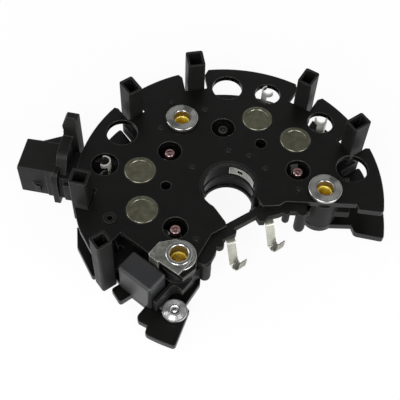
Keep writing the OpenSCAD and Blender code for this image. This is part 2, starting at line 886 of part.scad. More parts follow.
module ground_rivet() {
    z = low_z1 + tab_t;
    color([0.82, 0.82, 0.83])
        cap_frame()
            translate(rivet_at)
                rotate_extrude()
                    polygon([[0, low_z0 - 0.5], [shank_r + 1.2, low_z0 - 0.5], [shank_r + 1.4, low_z0],
                        [shank_r, low_z0], [shank_r, z], [rivet_r, z], [rivet_r, z + rivet_h - 0.6],
                        [rivet_r - 0.8, z + rivet_h], [1.6, z + rivet_h], [1.3, z + rivet_h - 0.6],
                        [0, z + rivet_h - 1.3]]);
}

// Spring contacts and plug blades

module hook_frame(h) {
    translate([h[0], h[1], block_z0 + 0.9])
        rotate(18)
            children();
}

// a profile of reach and height, drawn out across a hook from x0 to x1
module across_hook(x0, x1) {
    translate([x0, 0, 0])
        rotate([90, 0, 90])
            linear_extrude(x1 - x0)
                mirror([1, 0])
                    children();
}

module regulator_hook(h) {
    half = hook_w / 2;
    t = hook_t / 2;
    slope = 55;
    shoulder_r = 2;
    shoulder = [1.2, -shoulder_r];
    // where the sloping shank ends and the foot begins: reach, then depth
    foot = hook_l - hook_bend * (1 + sin(slope)) - t;
    lap = 0.37;
    run = (foot - shoulder[0] - shoulder_r * sin(slope)) / cos(slope);
    drop = shoulder_r * (1 - cos(slope)) + run * sin(slope);
    way = [cos(slope), -sin(slope)];
    side = [sin(slope), cos(slope)];
    bend = hook_bend * side;
    inner = hook_bend - t;
    outer = hook_bend + t;
    start = 270 - slope;
    color([0.82, 0.82, 0.8])
        hook_frame(h) {
            across_hook(-half, half)
                polygon(concat([[-4, -t], [-4, t]], arc(shoulder, shoulder_r + t, 90, 90 - slope, 4),
                    [[foot, -drop] + lap * way + t * side, [foot, -drop] + lap * way - t * side],
                    arc(shoulder, shoulder_r - t, 90 - slope, 90, 4)));
            // the foot turns aside, bends up and ends in three leaning fingers
            translate([0.3, -foot, -drop])
                rotate(20)
                    intersection() {
                        across_hook(-4, 8)
                            polygon(concat([-lap * way - t * side], arc(bend, outer, start, start + 154, 8),
                                [bend + [outer - 0.6, 2.2], bend + [inner - 0.6, 2.2]],
                                arc(bend, inner, start + 154, start, 8), [-lap * way + t * side]));
                        union() {
                            translate([-half, -bend[0] - 0.3, -4])
                                cube([hook_w + 0.2, 4, 7]);
                            translate([0, -bend[0], 0])
                                rotate([90, 0, 0])
                                    linear_extrude(4) {
                                        polygon([[-half, -2], [half + 0.2, -2], [half + 0.8, 0.4],
                                            [-half + 0.6, 0.4]]);
                                        for (k = [0 : 2])
                                            translate([-half + 0.6 + 1.25 * k, 0.3])
                                                polygon([[0, 0], [1.1, 0], [2.6, 3.4], [1.7, 3.4]]);
                                    }
                        }
                    }
        }
}

module collar_contact() {
    color([0.82, 0.82, 0.8])
        difference() {
            rotate([0, 0, 20])
                rotate_extrude(angle = 70)
                    polygon([[collar_r + 0.5 - snug, top_z1 - 2.2], [collar_r + 0.5 - snug, top_z1 - 6.4],
                        [collar_r, top_z1 - 6.4], [collar_r, top_z1 - 2.2]]);
            // slot for the tool that presses it in
            slab(top_z1 - 5.2, top_z1 - 3.4)
                rotate(65)
                    translate([0, -1.2])
                        square([2 * collar_r, 2.4]);
        }
}

module plug_pin(s) {
    mid = low_z1 - 0.2 + plug_h / 2;
    color([0.8, 0.8, 0.78])
        plug_frame()
            along_plug(plug_deep - 8, plug_deep + 4)
                translate([s * 2.6, mid])
                    square([strip_t, blade_w], center = true);
}

positive_heat_sink();
negative_heat_sink();
terminal_carrier();
positive_diode(0);  // positive_diode_1
positive_diode(1);  // positive_diode_2
positive_diode(2);  // positive_diode_3
positive_diode(3);  // positive_diode_4
negative_diode(0);  // negative_diode_1
negative_diode(1);  // negative_diode_2
negative_diode(2);  // negative_diode_3
negative_diode(3);  // negative_diode_4
positive_lead(0);  // positive_lead_1
positive_lead(1);  // positive_lead_2
positive_lead(2);  // positive_lead_3
positive_lead(3);  // positive_lead_4
negative_lead(0);  // negative_lead_1
negative_lead(1);  // negative_lead_2
negative_lead(2);  // negative_lead_3
negative_lead(3);  // negative_lead_4
positive_fill(0);  // positive_fill_1
positive_fill(1);  // positive_fill_2
positive_fill(2);  // positive_fill_3
positive_fill(3);  // positive_fill_4
negative_fill(0);  // negative_fill_1
negative_fill(1);  // negative_fill_2
negative_fill(2);  // negative_fill_3
negative_fill(3);  // negative_fill_4
phase_terminal(0);  // phase_terminal_1
phase_terminal(1);  // phase_terminal_2
phase_terminal(2);  // phase_terminal_3
phase_terminal(3);  // phase_terminal_4
bushing(0);  // bushing_a
bushing(1);  // bushing_b
bushing(2);  // bushing_c
sleeve(0);  // sleeve_a
sleeve(1);  // sleeve_b
sleeve(2);  // sleeve_c
washer(0);  // washer_a
washer(1);  // washer_b
output_strap();
capacitor_body();
ground_tab();
ground_rivet();
regulator_hook(hook_at[0]);  // regulator_hook_1
regulator_hook(hook_at[1]);  // regulator_hook_2
collar_contact();
plug_pin(-1);  // plug_pin_1
plug_pin(1);  // plug_pin_2
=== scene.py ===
import math

import bpy
from mathutils import Matrix, Vector


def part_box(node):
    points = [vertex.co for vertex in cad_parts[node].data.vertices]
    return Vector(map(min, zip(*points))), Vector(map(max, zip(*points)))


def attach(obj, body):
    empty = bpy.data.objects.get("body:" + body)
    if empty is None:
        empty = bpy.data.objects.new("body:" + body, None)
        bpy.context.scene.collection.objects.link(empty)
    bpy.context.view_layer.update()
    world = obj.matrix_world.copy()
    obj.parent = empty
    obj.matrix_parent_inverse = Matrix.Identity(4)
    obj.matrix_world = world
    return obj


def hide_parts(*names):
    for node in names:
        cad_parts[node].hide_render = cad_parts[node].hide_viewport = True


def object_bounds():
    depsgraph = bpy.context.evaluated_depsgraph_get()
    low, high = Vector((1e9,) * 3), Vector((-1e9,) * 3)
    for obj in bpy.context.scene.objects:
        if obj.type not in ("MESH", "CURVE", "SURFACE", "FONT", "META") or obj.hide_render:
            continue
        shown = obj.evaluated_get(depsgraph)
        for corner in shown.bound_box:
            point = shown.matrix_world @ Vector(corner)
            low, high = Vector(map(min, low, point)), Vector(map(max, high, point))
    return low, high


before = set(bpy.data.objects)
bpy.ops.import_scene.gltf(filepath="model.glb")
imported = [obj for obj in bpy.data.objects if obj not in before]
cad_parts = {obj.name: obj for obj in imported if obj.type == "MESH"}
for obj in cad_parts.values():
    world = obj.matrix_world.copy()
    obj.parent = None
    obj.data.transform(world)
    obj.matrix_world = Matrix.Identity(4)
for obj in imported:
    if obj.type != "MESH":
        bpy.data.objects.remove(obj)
cad_low, cad_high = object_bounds()


# The stage is a pale matte sheet that the part lies on, under a soft studio sky.
# The sky is white along the horizon and darker overhead, so that flat black tops stay dark
# while the walls that face the camera pick up the light of the sheet.
def reckon(tree, operation, first, second):
    """A Math node of the tree that works on two sockets or numbers."""
    node = tree.nodes.new("ShaderNodeMath")
    node.operation = operation
    for socket, given in zip(node.inputs, (first, second)):
        if isinstance(given, bpy.types.NodeSocket):
            tree.links.new(given, socket)
        else:
            socket.default_value = given
    return node


# the scene is in metres, and the part's own sizes are written in millimetres
MM = 0.001
SHEET_SIZE = 6.0
SHEET_COLOUR = (0.86, 0.86, 0.86, 1)
SHEET_WHITENESS = 0.92
bpy.ops.object.select_all(action="DESELECT")
bpy.ops.mesh.primitive_plane_add(size=SHEET_SIZE, location=(0, 0, cad_low.z))
sheet = bpy.context.object
sheet.name = "floor"
sheet_paper = bpy.data.materials.new("pale_sheet")
sheet_paper.use_nodes = True
tree = sheet_paper.node_tree
tree.nodes.clear()
paper_output = tree.nodes.new("ShaderNodeOutputMaterial")
paper_mix = tree.nodes.new("ShaderNodeMixShader")
paper_matte = tree.nodes.new("ShaderNodeBsdfDiffuse")
paper_matte.inputs["Color"].default_value = SHEET_COLOUR
paper_white = tree.nodes.new("ShaderNodeEmission")
# seen straight or in a reflection the sheet is nearly white, and its shadows stay faint
light_path = tree.nodes.new("ShaderNodeLightPath")
seen = reckon(tree, "MAXIMUM", light_path.outputs["Is Camera Ray"], light_path.outputs["Is Glossy Ray"])
whiteness = reckon(tree, "MULTIPLY", seen.outputs[0], SHEET_WHITENESS)
tree.links.new(whiteness.outputs[0], paper_mix.inputs["Fac"])
tree.links.new(paper_matte.outputs[0], paper_mix.inputs[1])
tree.links.new(paper_white.outputs[0], paper_mix.inputs[2])
tree.links.new(paper_mix.outputs[0], paper_output.inputs["Surface"])
sheet.data.materials.append(sheet_paper)

# pairs of a height, from the horizon at 0 to overhead at 1, and a brightness
SKY_STOPS = ((0.0, 1.0), (0.3, 0.88), (0.64, 0.28), (1.0, 0.22))
sky = bpy.data.worlds.new("studio_sky")
bpy.context.scene.world = sky
sky.use_nodes = True
tree = sky.node_tree
sky_place = tree.nodes.new("ShaderNodeTexCoord")
sky_split = tree.nodes.new("ShaderNodeSeparateXYZ")
sky_ramp = tree.nodes.new("ShaderNodeValToRGB")
tree.links.new(sky_place.outputs["Generated"], sky_split.inputs[0])
tree.links.new(sky_split.outputs["Z"], sky_ramp.inputs["Fac"])
tree.links.new(sky_ramp.outputs["Color"], tree.nodes["Background"].inputs["Color"])
ramp_stops = sky_ramp.color_ramp.elements
for height, brightness in SKY_STOPS[len(ramp_stops):]:
    ramp_stops.new(height)
for stop, (height, brightness) in enumerate(SKY_STOPS):
    ramp_stops[stop].position = height
    ramp_stops[stop].color = (brightness, brightness, brightness, 1)

# name, place and size in metres, and power in watts
LAMPS = (
    ("key_lamp", (-0.35, -0.85, 0.75), 0.7, 10.0),
    ("right_lamp", (0.75, -0.7, 0.55), 0.6, 6.0),
    ("left_lamp", (-0.95, 0.15, 0.55), 0.6, 3.5),
)
LAMP_AIM = Vector((-10, 5, 12)) * MM
for name, place, size, watts in LAMPS:
    bpy.ops.object.light_add(type="AREA", location=place)
    lamp = bpy.context.object
    lamp.name = name
    lamp.data.size = size
    lamp.data.energy = watts
    lamp.rotation_euler = (LAMP_AIM - Vector(place)).to_track_quat("-Z", "Y").to_euler()

CAMERA_PLACE = Vector((-11.36, -187.5, 295.3)) * MM
CAMERA_ELEVATION = math.radians(56.774)
CAMERA_ROLL = math.radians(3.004)
FOCAL_PX = 832.9
IMAGE_PX = 400
SENSOR_MM = 36
NEAREST_SEEN = 10 * MM
bpy.ops.object.camera_add()
camera = bpy.context.object
camera.data.sensor_width = SENSOR_MM
camera.data.lens = FOCAL_PX / IMAGE_PX * SENSOR_MM
camera.data.clip_start = NEAREST_SEEN
level = Vector((1, 0, 0))
upright = Vector((0, math.sin(CAMERA_ELEVATION), math.cos(CAMERA_ELEVATION)))
right = math.cos(CAMERA_ROLL) * level + math.sin(CAMERA_ROLL) * upright
up = math.cos(CAMERA_ROLL) * upright - math.sin(CAMERA_ROLL) * level
camera_turn = Matrix((right, up, right.cross(up))).transposed().to_4x4()
camera.matrix_world = Matrix.Translation(CAMERA_PLACE) @ camera_turn
bpy.context.scene.camera = camera
bpy.context.scene.view_settings.view_transform = "Standard"

# The lower heat sink is a stamped aluminium plate under a satin black coat.
# It carries the negative diodes, and its press-rounded edges are painted light grey, partly as a little bare
# metal and partly as a painted highlight.
# points nearer to each other than this are one point
SAME_PLACE = 0.02 * MM


def welded_copy(node, name):
    """A copy of the node's solid with its loose triangles joined, selected and active."""
    bpy.ops.object.select_all(action="DESELECT")
    piece = bpy.data.objects.new(name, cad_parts[node].data.copy())
    bpy.context.collection.objects.link(piece)
    bpy.context.view_layer.objects.active = piece
    piece.select_set(True)
    bpy.ops.mesh.customdata_custom_splitnormals_clear()
    bpy.ops.object.mode_set(mode="EDIT")
    bpy.ops.mesh.select_all(action="SELECT")
    bpy.ops.mesh.remove_doubles(threshold=SAME_PLACE)
    bpy.ops.object.mode_set(mode="OBJECT")
    return piece


def pick(piece, kind, chosen):
    """Goes into edit mode with those points, edges or faces selected that chosen() is true of."""
    bpy.ops.object.mode_set(mode="EDIT")
    bpy.ops.mesh.select_mode(type=kind)
    bpy.ops.mesh.select_all(action="DESELECT")
    bpy.ops.object.mode_set(mode="OBJECT")
    elements = {"VERT": piece.data.vertices, "EDGE": piece.data.edges, "FACE": piece.data.polygons}
    for element in elements[kind]:
        element.select = chosen(element)
    bpy.ops.object.mode_set(mode="EDIT")


# a corner is named by its place in plan, and takes the points within this reach of it
MOVED_CORNER_REACH = 0.06 * MM


def trim_corners(piece, trims):
    """Moves plan corners of the active plate: pairs of a corner and its shift, in mm."""
    for corner, shift in trims:
        pick(piece, "VERT", lambda point: (point.co.xy - Vector(corner) * MM).length < MOVED_CORNER_REACH)
        bpy.ops.transform.translate(value=(shift[0] * MM, shift[1] * MM, 0))
        bpy.ops.object.mode_set(mode="OBJECT")


LEAST_RISE = 0.1 * MM
ROUNDED_CORNER_REACH = 0.15 * MM
CORNER_STEPS = 5


def round_corners(piece, corners, radius):
    """Rounds the upright edges of the active plate at the given plan corners, in mm."""
    def ends_of(edge):
        return [piece.data.vertices[end].co for end in edge.vertices]

    def slants(edge):
        start, end = ends_of(edge)
        return abs(start.z - end.z) > LEAST_RISE and (start.xy - end.xy).length > SAME_PLACE

    def stands_at(edge, corner):
        return all((end.xy - Vector(corner) * MM).length < ROUNDED_CORNER_REACH for end in ends_of(edge))

    # the slanting lines across the walls go first, so that the corners round evenly
    pick(piece, "EDGE", slants)
    bpy.ops.mesh.dissolve_edges(use_verts=False)
    bpy.ops.object.mode_set(mode="OBJECT")
    pick(piece, "EDGE", lambda edge: any(stands_at(edge, corner) for corner in corners))
    bpy.ops.mesh.bevel(offset=radius, segments=CORNER_STEPS, affect="EDGES", clamp_overlap=False)
    bpy.ops.object.mode_set(mode="OBJECT")


SHARP_FROM = math.radians(32)
SMOOTH_UP_TO = math.radians(40)
LARGE_FACE_WEIGHT = 90


def break_edges(piece, edge, steps=2):
    """Rounds the sharp edges of the active piece, as stamping, moulding or tumbling does."""
    broken = piece.modifiers.new("broken_edges", "BEVEL")
    broken.width = edge
    broken.segments = steps
    broken.limit_method = "ANGLE"
    broken.angle_limit = SHARP_FROM
    broken.use_clamp_overlap = False
    broken.loop_slide = False
    bpy.ops.object.modifier_apply(modifier=broken.name)
    bpy.ops.object.shade_smooth_by_angle(angle=SMOOTH_UP_TO)
    # the flat faces keep their own shading beside the rounded edges
    level_faces = piece.modifiers.new("level_faces", "WEIGHTED_NORMAL")
    level_faces.mode = "FACE_AREA_WITH_ANGLE"
    level_faces.weight = LARGE_FACE_WEIGHT
    level_faces.keep_sharp = True
    bpy.ops.object.modifier_apply(modifier=level_faces.name)


def hand_over(piece, node, material):
    """Gives the finished piece its material and lets it stand for the node."""
    piece.data.materials.clear()
    piece.data.materials.append(material)
    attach(piece, "root")
    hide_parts(node)


def make_group(name, inputs, outputs):
    """A shader group with float inputs (name, value) and float outputs, and its two end nodes."""
    group = bpy.data.node_groups.new(name, "ShaderNodeTree")
    for socket, value in inputs:
        made = group.interface.new_socket(socket, in_out="INPUT", socket_type="NodeSocketFloat")
        made.default_value = value
    for socket in outputs:
        group.interface.new_socket(socket, in_out="OUTPUT", socket_type="NodeSocketFloat")
    return group, group.nodes.new("NodeGroupInput"), group.nodes.new("NodeGroupOutput")


# mottle: broad cloudiness of a finish; grain: its fine roughness
MOTTLE_SCALE = 90.0
GRAIN_SCALE = 900.0
NOISE_DETAIL = {"Mottle": 4.0, "Grain": 2.0}
grain_group, ends_in, ends_out = make_group(
    "surface_grain", (("Mottle Scale", MOTTLE_SCALE), ("Grain Scale", GRAIN_SCALE)), NOISE_DETAIL)
place = grain_group.nodes.new("ShaderNodeTexCoord")
for socket, detail in NOISE_DETAIL.items():
    noise = grain_group.nodes.new("ShaderNodeTexNoise")
    noise.inputs["Detail"].default_value = detail
    grain_group.links.new(place.outputs["Object"], noise.inputs["Vector"])
    grain_group.links.new(ends_in.outputs[socket + " Scale"], noise.inputs["Scale"])
    grain_group.links.new(noise.outputs["Fac"], ends_out.inputs[socket])

# edge: 1 along sharp edges, where handling polishes a coat, and where a light colour is laid on, partly for
# scuffing and partly as a painted highlight
EDGE_WIDTH = 0.5 * MM
EDGE_GAIN = 4.0
EDGE_SAMPLES = 6
edge_group, ends_in, ends_out = make_group(
    "edge_wear_and_highlight", (("Width", EDGE_WIDTH), ("Gain", EDGE_GAIN)), ("Edge",))
softened = edge_group.nodes.new("ShaderNodeBevel")
softened.samples = EDGE_SAMPLES
surface = edge_group.nodes.new("ShaderNodeNewGeometry")
likeness = edge_group.nodes.new("ShaderNodeVectorMath")
likeness.operation = "DOT_PRODUCT"
edge_group.links.new(ends_in.outputs["Width"], softened.inputs["Radius"])
edge_group.links.new(softened.outputs["Normal"], likeness.inputs[0])
edge_group.links.new(surface.outputs["Normal"], likeness.inputs[1])
turned_away = reckon(edge_group, "SUBTRACT", 1.0, likeness.outputs["Value"])
gain = reckon(edge_group, "MULTIPLY", turned_away.outputs[0], ends_in.outputs["Gain"])
gain.use_clamp = True
edge_group.links.new(gain.outputs[0], ends_out.inputs["Edge"])

# the colour sockets of a Mix node
MIX_AMOUNT, MIX_FIRST, MIX_SECOND, MIX_RESULT = 0, 6, 7, 2
MOTTLE_RANGE = (0.3, 0.7)
EDGE_GLOSS_ROUGHNESS = 0.18
GRAIN_DEPTH = 0.1 * MM


def finish_of(name, dark, pale, wear_and_highlight, roughness, bump, grain_scale=GRAIN_SCALE, metallic=0.0, specular=0.5,
              wear_and_highlight_gain=EDGE_GAIN, mottle_scale=MOTTLE_SCALE, glossy_edges=False):
    """A finish that clouds from dark to pale, is lighter along its edges, partly from scuffing and partly as
    a painted highlight, and has a fine grain.
    """
    material = bpy.data.materials.new(name)
    material.use_nodes = True
    tree = material.node_tree
    shader = tree.nodes["Principled BSDF"]
    shader.inputs["Metallic"].default_value = metallic
    shader.inputs["Specular IOR Level"].default_value = specular
    grain = tree.nodes.new("ShaderNodeGroup")
    grain.node_tree = grain_group
    grain.inputs["Mottle Scale"].default_value = mottle_scale
    grain.inputs["Grain Scale"].default_value = grain_scale
    cloud = tree.nodes.new("ShaderNodeMix")
    cloud.data_type = "RGBA"
    cloud.inputs[MIX_FIRST].default_value = (*dark, 1)
    cloud.inputs[MIX_SECOND].default_value = (*pale, 1)
    tree.links.new(grain.outputs["Mottle"], cloud.inputs[MIX_AMOUNT])
    edge = tree.nodes.new("ShaderNodeGroup")
    edge.node_tree = edge_group
    edge.inputs["Gain"].default_value = wear_and_highlight_gain
    # the light colour along the edges is partly scuffing and partly a painted highlight
    rubbed_and_highlit = tree.nodes.new("ShaderNodeMix")
    rubbed_and_highlit.data_type = "RGBA"
    rubbed_and_highlit.inputs[MIX_SECOND].default_value = (*wear_and_highlight, 1)
    tree.links.new(edge.outputs["Edge"], rubbed_and_highlit.inputs[MIX_AMOUNT])
    tree.links.new(cloud.outputs[MIX_RESULT], rubbed_and_highlit.inputs[MIX_FIRST])
    tree.links.new(rubbed_and_highlit.outputs[MIX_RESULT], shader.inputs["Base Color"])
    if glossy_edges:
        shader.inputs["Coat Roughness"].default_value = EDGE_GLOSS_ROUGHNESS
        tree.links.new(edge.outputs["Edge"], shader.inputs["Coat Weight"])
    gloss = tree.nodes.new("ShaderNodeMapRange")
    gloss.inputs["From Min"].default_value, gloss.inputs["From Max"].default_value = MOTTLE_RANGE
    gloss.inputs["To Min"].default_value, gloss.inputs["To Max"].default_value = roughness
    tree.links.new(grain.outputs["Mottle"], gloss.inputs["Value"])
    tree.links.new(gloss.outputs["Result"], shader.inputs["Roughness"])
    relief = tree.nodes.new("ShaderNodeBump")
    relief.inputs["Strength"].default_value = bump
    relief.inputs["Distance"].default_value = GRAIN_DEPTH
    tree.links.new(grain.outputs["Grain"], relief.inputs["Height"])
    tree.links.new(relief.outputs["Normal"], shader.inputs["Normal"])
    return material


black_coat = finish_of(
    "satin_black_coat", dark=(0.0008, 0.0008, 0.0006), pale=(0.002, 0.002, 0.0016), wear_and_highlight=(0.12, 0.12, 0.115),
    roughness=(0.33, 0.39), bump=0.14, grain_scale=1800.0, specular=0.33, mottle_scale=260.0,
    glossy_edges=True)
PLATE_EDGE_STEPS = 3
LOWER_EDGE = 0.3 * MM
LOWER_CORNER_RADIUS = 1.2 * MM
LOWER_CORNERS = (
    (-17.89, -62.9), (-29.5, -58.37), (-33.3, -51.2), (-40.2, -45.8), (-44.23, -40.09), (-51.91, -35.57),
    (52.7, -8.8), (64.51, -10.76), (64.59, 10.23), (56.51, 24.6), (-48.05, 38.7),
)
# the notches close up to the posts
NOTCH_TRIM = (
    ((49.38, 18.35), (-0.42, 0.56)),
    ((56.93, 24.04), (-0.42, 0.56)),
    ((-48.4, 38.42), (0.35, 0.28)),
    ((-42.56, 30.95), (0.35, 0.28)),
)
lower_plate = welded_copy("negative_heat_sink", "lower_heat_sink")
trim_corners(lower_plate, NOTCH_TRIM)
round_corners(lower_plate, LOWER_CORNERS, LOWER_CORNER_RADIUS)
break_edges(lower_plate, LOWER_EDGE, PLATE_EDGE_STEPS)
hand_over(lower_plate, "negative_heat_sink", black_coat)


# The negative diodes are plated steel cups pressed into the lower heat sink, open side up.
# Black resin closes each cup round a copper lead, whose swaged end stands on a phase conductor.
# The ends are tubes with a bright core, and the third one has oxidised to black.
def rounded_copy(node, name, edge, material, steps=2):
    """Dresses the node with a copy of its solid, with broken edges and the finish."""
    piece = welded_copy(node, name)
    break_edges(piece, edge, steps)
    hand_over(piece, node, material)


SPIN_SEAM = 0.002 * MM
TURNED_SMOOTH_UP_TO = math.radians(35)


def turned(node, name, section, material, steps, bands=(), band_material=None):
    """Spins a half section of (radius, height) in mm about the node's own upright axis.
    Faces whose middle lies in one of the bands of radii take the second material."""
    low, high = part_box(node)
    axis = Vector(((low[0] + high[0]) / 2, (low[1] + high[1]) / 2, 0))
    bpy.ops.object.select_all(action="DESELECT")
    bpy.ops.mesh.primitive_plane_add(size=MM)
    piece = bpy.context.object
    piece.name = piece.data.name = name
    bpy.ops.object.mode_set(mode="EDIT")
    bpy.ops.mesh.select_mode(type="VERT")
    bpy.ops.mesh.select_all(action="SELECT")
    bpy.ops.mesh.merge(type="CENTER")
    radius, height = section[0]
    bpy.ops.transform.translate(value=axis + Vector((radius, 0, height)) * MM)
    for further, higher in section[1:]:
        step = Vector((further - radius, 0, higher - height)) * MM
        bpy.ops.mesh.extrude_region_move(TRANSFORM_OT_translate={"value": step})
        radius, height = further, higher
    bpy.ops.mesh.select_all(action="SELECT")
    bpy.ops.mesh.spin(steps=steps, angle=math.tau, center=axis, axis=(0, 0, 1))
    bpy.ops.mesh.select_all(action="SELECT")
    bpy.ops.mesh.remove_doubles(threshold=SPIN_SEAM)
    bpy.ops.mesh.normals_make_consistent(inside=False)
    bpy.ops.object.mode_set(mode="OBJECT")
    bpy.ops.object.shade_smooth_by_angle(angle=TURNED_SMOOTH_UP_TO)
    hand_over(piece, node, material)
    if bands:
        piece.data.materials.append(band_material)
    for face in piece.data.polygons:
        away = (face.center.xy - axis.xy).length / MM
        if any(inner < away < outer for inner, outer in bands):
            face.material_index = 1


olive_plate = finish_of(
    "olive_plate", dark=(0.078, 0.076, 0.05), pale=(0.222, 0.216, 0.152), wear_and_highlight=(0.32, 0.32, 0.27),
    roughness=(0.34, 0.48), bump=0.35, grain_scale=1600.0, metallic=0.85, wear_and_highlight_gain=0.5, mottle_scale=420.0)
copper_end = finish_of(
    "tarnished_copper", dark=(0.23, 0.13, 0.13), pale=(0.56, 0.39, 0.38), wear_and_highlight=(0.9, 0.78, 0.76),
    roughness=(0.16, 0.34), bump=0.2, grain_scale=1500.0, metallic=0.95, wear_and_highlight_gain=5.0)
oxide_end = finish_of(
    "oxidised_copper", dark=(0.008, 0.008, 0.008), pale=(0.016, 0.015, 0.014), wear_and_highlight=(0.12, 0.12, 0.12),
    roughness=(0.22, 0.36), bump=0.2, grain_scale=1500.0, metallic=0.3, wear_and_highlight_gain=5.0)
cast_resin = finish_of(
    "cast_resin", dark=(0.012, 0.012, 0.012), pale=(0.02, 0.02, 0.02), wear_and_highlight=(0.03, 0.03, 0.03),
    roughness=(0.25, 0.4), bump=0.2)
DIODES = (1, 2, 3, 4)
OXIDISED_LEAD = 3
CUP_EDGE = 0.2 * MM
RESIN_EDGE = 0.1 * MM
LEAD_STEPS = 32
# headed foot, thin lead, swaged tube and its core
LONG_LEAD = (
    (0, 5.7), (2.2, 5.7), (2.2, 6.3), (0.8, 6.3), (0.8, 12.3), (2.1, 12.3), (2.1, 19.2), (2.0, 19.55),
    (1.78, 19.75), (1.55, 19.8), (1.35, 19.72), (1.2, 19.4), (1.08, 18.5), (0.62, 18.4), (0.55, 19.1),
    (0.4, 19.35), (0, 19.45),
)
for i in DIODES:
    rounded_copy(f"negative_diode_{i}", f"lower_diode_{i}", CUP_EDGE, olive_plate)
    turned(f"negative_lead_{i}", f"long_lead_{i}", LONG_LEAD,
           oxide_end if i == OXIDISED_LEAD else copper_end, LEAD_STEPS)
    rounded_copy(f"negative_fill_{i}", f"lower_resin_{i}", RESIN_EDGE, cast_resin)


# The phase conductors are tinned strips laid in grooves of the carrier.
# Three of them end in an upright rolled tab that a stator lead is welded to.
# Each roll is an open ring on a narrow stem, with its gap on the side away from the stem.
def cut_away(piece, middle, size, turn):
    """Takes a block of material off the piece: its middle and size in mm, and its turn about Z."""
    bpy.ops.object.select_all(action="DESELECT")
    bpy.ops.mesh.primitive_cube_add(size=1, location=Vector(middle) * MM, rotation=(0, 0, turn),
                                    scale=Vector(size) * MM)
    block = bpy.context.object
    bpy.ops.object.select_all(action="DESELECT")
    piece.select_set(True)
    bpy.context.view_layer.objects.active = piece
    cut = piece.modifiers.new("cut", "BOOLEAN")
    cut.operation = "DIFFERENCE"
    cut.solver = "EXACT"
    cut.object = block
    bpy.ops.object.modifier_apply(modifier=cut.name)
    bpy.data.objects.remove(block)


dipped_tin = finish_of(
    "dipped_tin", dark=(0.52, 0.51, 0.47), pale=(0.68, 0.67, 0.63), wear_and_highlight=(0.97, 0.97, 0.95),
    roughness=(0.22, 0.36), bump=0.15, metallic=0.62, wear_and_highlight_gain=7.0)
# painted shade for the inside faces of the rolled tabs
painted_shade_tin = finish_of(
    "painted_shade_tin", dark=(0.02, 0.02, 0.018), pale=(0.045, 0.045, 0.04), wear_and_highlight=(0.2, 0.2, 0.18),
    roughness=(0.4, 0.55), bump=0.2, metallic=0.5)
STRIPS = (1, 2, 3, 4)
STRIP_EDGE = 0.1 * MM
# the rolled tabs: axes in plan in mm, and the way that each gap faces in degrees
ROLL_AXES = {1: (-50.4, 7.1), 3: (15.34, 48.63), 4: (37.6, 34.46)}
GAP_TURNS = {1: 172, 3: 30, 4: 105}
ROLL_INSIDE = 2.05 * MM
# heights of a roll, and where its gap and its stem are cut from the axis outwards, in mm
ROLL_FOOT = 13.0
RING_FOOT = 21.5
ROLL_TOP = 24.0
GAP_FROM = 1.2
STEM_TO = -1.6
ROLL_REACH = 4.0
for i in STRIPS:
    strip = welded_copy(f"phase_terminal_{i}", f"phase_strip_{i}")
    if i in ROLL_AXES:
        turn = math.radians(GAP_TURNS[i])
        outwards = Vector((math.cos(turn), math.sin(turn)))
        for start, top in ((GAP_FROM, ROLL_TOP), (STEM_TO, RING_FOOT)):
            middle = Vector(ROLL_AXES[i]) + outwards * (start + ROLL_REACH) / 2
            cut_away(strip, (*middle, (ROLL_FOOT + top) / 2),
                     (ROLL_REACH - start, 2 * ROLL_REACH, top - ROLL_FOOT), turn)
    break_edges(strip, STRIP_EDGE)
    hand_over(strip, f"phase_terminal_{i}", dipped_tin)
    if i in ROLL_AXES:
        # painted shade: the inside of a roll is painted nearly black, with a rougher finish
        strip.data.materials.append(painted_shade_tin)
        roll_axis = Vector(ROLL_AXES[i]) * MM
        for face in strip.data.polygons:
            if (face.center.xy - roll_axis).length < ROLL_INSIDE:
                face.material_index = 1

# The carrier is one dark grey glass-filled moulding between the plates.
# It has the lead posts, the shaft collar, the bolt spacers and the plug housing in one piece.
# Its stake pins are formed to low domes over the upper heat sink.
carrier_plastic = finish_of(
    "carrier_plastic", dark=(0.005, 0.005, 0.0047), pale=(0.0085, 0.0085, 0.008), wear_and_highlight=(0.065, 0.065, 0.063),
    roughness=(0.44, 0.54), bump=0.25, grain_scale=1400.0, specular=0.17, mottle_scale=260.0,
    glossy_edges=True)
# a glossier finish for the collar bore, painted darker than the carrier as painted shade
glossy_bore_painted_shade = finish_of(
    "glossy_bore_painted_shade", dark=(0.001, 0.001, 0.0009), pale=(0.002, 0.002, 0.0018), wear_and_highlight=(0.06, 0.06, 0.058),
    roughness=(0.12, 0.2), bump=0.12, grain_scale=1400.0, specular=0.05, glossy_edges=True)
CARRIER_EDGE = 0.2 * MM
PIN_TOP = 21.15 * MM
FACING_UP = 0.99
# steps of a dome, inwards and upwards in mm
DOME_STEPS = ((0.3, 0.22), (0.3, 0.1))
carrier = welded_copy("terminal_carrier", "moulded_carrier")
pick(carrier, "FACE",
     lambda face: face.normal.z > FACING_UP and abs(face.center.z - PIN_TOP) < SAME_PLACE)
for inwards, upwards in DOME_STEPS:
    bpy.ops.mesh.inset(thickness=inwards * MM)
    bpy.ops.transform.translate(value=(0, 0, upwards * MM))
bpy.ops.object.mode_set(mode="OBJECT")
break_edges(carrier, CARRIER_EDGE)
hand_over(carrier, "terminal_carrier", carrier_plastic)
# the core that forms the shaft collar leaves its bore smooth and glossy, and the bore is painted darker as
# painted shade
COLLAR_BORE = 10.95 * MM
COLLAR_RIM = 20.5 * MM
carrier.data.materials.append(glossy_bore_painted_shade)
for face in carrier.data.polygons:
    if face.center.xy.length < COLLAR_BORE and face.center.z < COLLAR_RIM:
        face.material_index = 1

